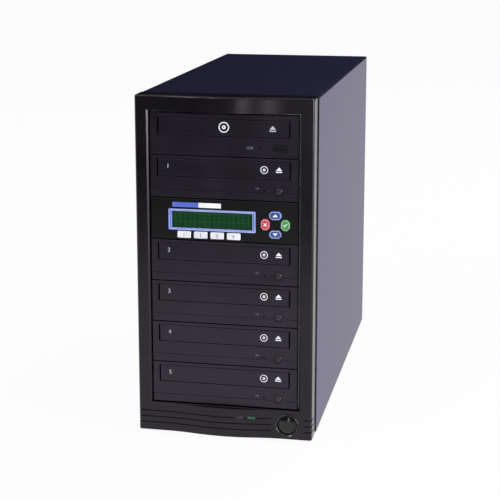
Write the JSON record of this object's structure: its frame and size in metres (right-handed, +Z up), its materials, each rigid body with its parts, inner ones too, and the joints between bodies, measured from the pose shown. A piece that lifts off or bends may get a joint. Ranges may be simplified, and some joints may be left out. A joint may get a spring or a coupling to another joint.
{
  "type": "disc duplicator tower",
  "caption": "Upright disc duplicator tower: folded black steel case, bowed front moulding, stacked tray drives and a display panel with keys.",
  "frame": {"origin": "on the floor, at the middle of the outside width and depth", "axes": "+Z up, -Y out of the front, +X to the right seen from the front"},
  "size_m": [0.18, 0.44, 0.3485],
  "materials": {
    "cover_paint": "fine textured black powder coat",
    "zinc_steel": "zinc-plated sheet steel",
    "screw_steel": "zinc-plated screws",
    "guard_chrome": "bright plated wire",
    "foot_rubber": "moulded rubber",
    "bezel_abs": "fine-textured black plastic",
    "face_abs": "fine-textured black plastic",
    "button_abs": "polished black plastic",
    "tray_abs": "black plastic",
    "spindle_plastic": "grey plastic and rubber",
    "board_green": "solder-masked circuit boards",
    "lens": "tinted light pipes",
    "lcd_blue": "printed polyester",
    "lcd_green": "tinted display window",
    "key_blue": "silicone keypad",
    "key_red": "silicone keypad",
    "key_green": "silicone keypad",
    "key_white": "silicone keypad",
    "fan_plastic": "black fan plastic",
    "cable_pvc": "flexible insulation"
  },
  "bodies": {
    "case": {"outer_cover": "cover_paint", "base_pan": "zinc_steel", "rear_panel": "zinc_steel", "drive_cage": "zinc_steel", "feet": "foot_rubber", "case_screws": "screw_steel", "front_bezel": "bezel_abs", "front_switch_board": "board_green", "indicator_lights": "lens", "panel_face": "face_abs", "lcd_surround": "lcd_blue", "lcd_window": "lcd_green", "controller_board": "board_green", "psu_housing": "zinc_steel", "psu_inlet": "fan_plastic", "exhaust_fan_frame": "fan_plastic", "fan_guard": "guard_chrome", "internal_cables": "cable_pvc", "reader_chassis": "zinc_steel", "reader_bezel": "face_abs", "writer_1_chassis": "zinc_steel", "writer_1_bezel": "face_abs", "writer_2_chassis": "zinc_steel", "writer_2_bezel": "face_abs", "writer_3_chassis": "zinc_steel", "writer_3_bezel": "face_abs", "writer_4_chassis": "zinc_steel", "writer_4_bezel": "face_abs", "writer_5_chassis": "zinc_steel", "writer_5_bezel": "face_abs"},
    "reader_tray_body": {"reader_tray": "tray_abs"},
    "reader_eject": {"reader_eject_button": "face_abs"},
    "reader_disc_motor": {"reader_spindle": "spindle_plastic"},
    "writer_1_tray_body": {"writer_1_tray": "tray_abs"},
    "writer_1_eject": {"writer_1_eject_button": "face_abs"},
    "writer_1_disc_motor": {"writer_1_spindle": "spindle_plastic"},
    "writer_2_tray_body": {"writer_2_tray": "tray_abs"},
    "writer_2_eject": {"writer_2_eject_button": "face_abs"},
    "writer_2_disc_motor": {"writer_2_spindle": "spindle_plastic"},
    "writer_3_tray_body": {"writer_3_tray": "tray_abs"},
    "writer_3_eject": {"writer_3_eject_button": "face_abs"},
    "writer_3_disc_motor": {"writer_3_spindle": "spindle_plastic"},
    "writer_4_tray_body": {"writer_4_tray": "tray_abs"},
    "writer_4_eject": {"writer_4_eject_button": "face_abs"},
    "writer_4_disc_motor": {"writer_4_spindle": "spindle_plastic"},
    "writer_5_tray_body": {"writer_5_tray": "tray_abs"},
    "writer_5_eject": {"writer_5_eject_button": "face_abs"},
    "writer_5_disc_motor": {"writer_5_spindle": "spindle_plastic"},
    "key_up_body": {"key_up": "key_blue"},
    "key_down_body": {"key_down": "key_blue"},
    "key_escape_body": {"key_escape": "key_red"},
    "key_enter_body": {"key_enter": "key_green"},
    "key_function_1_body": {"key_function_1": "key_white"},
    "key_function_2_body": {"key_function_2": "key_white"},
    "key_function_3_body": {"key_function_3": "key_white"},
    "key_function_4_body": {"key_function_4": "key_white"},
    "power_button_body": {"power_button": "button_abs"},
    "rocker_body": {"psu_rocker": "button_abs"},
    "exhaust_fan_body": {"exhaust_fan_rotor": "fan_plastic"},
    "psu_fan_body": {"psu_fan_rotor": "fan_plastic"}
  },
  "joints": [
    {"name": "reader_tray_slide", "type": "slide", "parent": "case", "child": "reader_tray_body", "axis": [0, -1, 0], "range_m": [0, 0.135]},
    {"name": "reader_eject_press", "type": "slide", "parent": "case", "child": "reader_eject", "axis": [0, 1, 0], "range_m": [0, 0.001], "stiffness_N_per_m": 1200},
    {"name": "reader_spindle_spin", "type": "hinge", "parent": "case", "child": "reader_disc_motor", "pos_m": [0, -0.1435, 0.3093], "axis": [0, 0, 1], "continuous": true},
    {"name": "writer_1_tray_slide", "type": "slide", "parent": "case", "child": "writer_1_tray_body", "axis": [0, -1, 0], "range_m": [0, 0.135]},
    {"name": "writer_1_eject_press", "type": "slide", "parent": "case", "child": "writer_1_eject", "axis": [0, 1, 0], "range_m": [0, 0.001], "stiffness_N_per_m": 1200},
    {"name": "writer_1_spindle_spin", "type": "hinge", "parent": "case", "child": "writer_1_disc_motor", "pos_m": [0, -0.1435, 0.267], "axis": [0, 0, 1], "continuous": true},
    {"name": "writer_2_tray_slide", "type": "slide", "parent": "case", "child": "writer_2_tray_body", "axis": [0, -1, 0], "range_m": [0, 0.135]},
    {"name": "writer_2_eject_press", "type": "slide", "parent": "case", "child": "writer_2_eject", "axis": [0, 1, 0], "range_m": [0, 0.001], "stiffness_N_per_m": 1200},
    {"name": "writer_2_spindle_spin", "type": "hinge", "parent": "case", "child": "writer_2_disc_motor", "pos_m": [0, -0.1435, 0.1824], "axis": [0, 0, 1], "continuous": true},
    {"name": "writer_3_tray_slide", "type": "slide", "parent": "case", "child": "writer_3_tray_body", "axis": [0, -1, 0], "range_m": [0, 0.135]},
    {"name": "writer_3_eject_press", "type": "slide", "parent": "case", "child": "writer_3_eject", "axis": [0, 1, 0], "range_m": [0, 0.001], "stiffness_N_per_m": 1200},
    {"name": "writer_3_spindle_spin", "type": "hinge", "parent": "case", "child": "writer_3_disc_motor", "pos_m": [0, -0.1435, 0.1401], "axis": [0, 0, 1], "continuous": true},
    {"name": "writer_4_tray_slide", "type": "slide", "parent": "case", "child": "writer_4_tray_body", "axis": [0, -1, 0], "range_m": [0, 0.135]},
    {"name": "writer_4_eject_press", "type": "slide", "parent": "case", "child": "writer_4_eject", "axis": [0, 1, 0], "range_m": [0, 0.001], "stiffness_N_per_m": 1200},
    {"name": "writer_4_spindle_spin", "type": "hinge", "parent": "case", "child": "writer_4_disc_motor", "pos_m": [0, -0.1435, 0.0978], "axis": [0, 0, 1], "continuous": true},
    {"name": "writer_5_tray_slide", "type": "slide", "parent": "case", "child": "writer_5_tray_body", "axis": [0, -1, 0], "range_m": [0, 0.135]},
    {"name": "writer_5_eject_press", "type": "slide", "parent": "case", "child": "writer_5_eject", "axis": [0, 1, 0], "range_m": [0, 0.001], "stiffness_N_per_m": 1200},
    {"name": "writer_5_spindle_spin", "type": "hinge", "parent": "case", "child": "writer_5_disc_motor", "pos_m": [0, -0.1435, 0.0555], "axis": [0, 0, 1], "continuous": true},
    {"name": "key_up_press", "type": "slide", "parent": "case", "child": "key_up_body", "axis": [0, 1, 0], "range_m": [0, 0.0008], "stiffness_N_per_m": 1200},
    {"name": "key_down_press", "type": "slide", "parent": "case", "child": "key_down_body", "axis": [0, 1, 0], "range_m": [0, 0.0008], "stiffness_N_per_m": 1200},
    {"name": "key_escape_press", "type": "slide", "parent": "case", "child": "key_escape_body", "axis": [0, 1, 0], "range_m": [0, 0.0008], "stiffness_N_per_m": 1200},
    {"name": "key_enter_press", "type": "slide", "parent": "case", "child": "key_enter_body", "axis": [0, 1, 0], "range_m": [0, 0.0008], "stiffness_N_per_m": 1200},
    {"name": "key_function_1_press", "type": "slide", "parent": "case", "child": "key_function_1_body", "axis": [0, 1, 0], "range_m": [0, 0.0008], "stiffness_N_per_m": 1200},
    {"name": "key_function_2_press", "type": "slide", "parent": "case", "child": "key_function_2_body", "axis": [0, 1, 0], "range_m": [0, 0.0008], "stiffness_N_per_m": 1200},
    {"name": "key_function_3_press", "type": "slide", "parent": "case", "child": "key_function_3_body", "axis": [0, 1, 0], "range_m": [0, 0.0008], "stiffness_N_per_m": 1200},
    {"name": "key_function_4_press", "type": "slide", "parent": "case", "child": "key_function_4_body", "axis": [0, 1, 0], "range_m": [0, 0.0008], "stiffness_N_per_m": 1200},
    {"name": "power_press", "type": "slide", "parent": "case", "child": "power_button_body", "axis": [0, 1, 0], "range_m": [0, 0.002], "stiffness_N_per_m": 900},
    {"name": "rocker_tip", "type": "hinge", "parent": "case", "child": "rocker_body", "pos_m": [-0.0512, 0.2068, 0.316], "axis": [1, 0, 0], "range_deg": [-20, 0]},
    {"name": "exhaust_fan_spin", "type": "hinge", "parent": "case", "child": "exhaust_fan_body", "pos_m": [0, 0.2, 0.15], "axis": [0, 1, 0], "continuous": true},
    {"name": "psu_fan_spin", "type": "hinge", "parent": "case", "child": "psu_fan_body", "pos_m": [0.026, 0.2, 0.3025], "axis": [0, 1, 0], "continuous": true}
  ]
}
